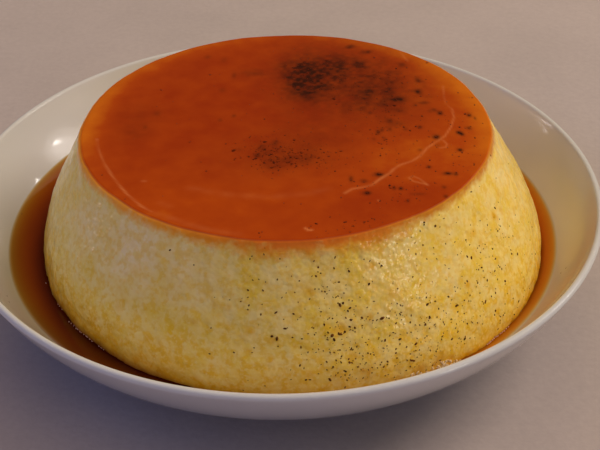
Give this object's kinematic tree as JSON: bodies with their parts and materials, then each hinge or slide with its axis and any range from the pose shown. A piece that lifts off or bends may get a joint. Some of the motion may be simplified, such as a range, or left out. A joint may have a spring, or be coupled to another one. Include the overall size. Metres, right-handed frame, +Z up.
{
  "type": "creme caramel flan in a bowl",
  "caption": "Large round creme caramel turned out into a shallow white porcelain bowl, with a glossy caramel top and caramel sauce round its foot.",
  "frame": {"origin": "on the table, under the middle of the bowl", "axes": "+Z up; -Y is the front, where the flan stands a little nearer the bowl's rim; +X is to the right seen from the front"},
  "size_m": [0.28, 0.28, 0.0859],
  "materials": {
    "porcelain": "glossy white glaze",
    "caramel_sauce": "clear dark caramel syrup, wet and glossy",
    "custard": "moist baked vanilla custard, softly mottled, with small pits and dark vanilla seeds",
    "caramel": "wet glossy caramel, red brown, lighter at the rim"
  },
  "bodies": {
    "root": {"bowl": "porcelain", "caramel_sauce": "caramel_sauce", "custard": "custard", "caramel_top": "caramel"}
  },
  "joints": []
}
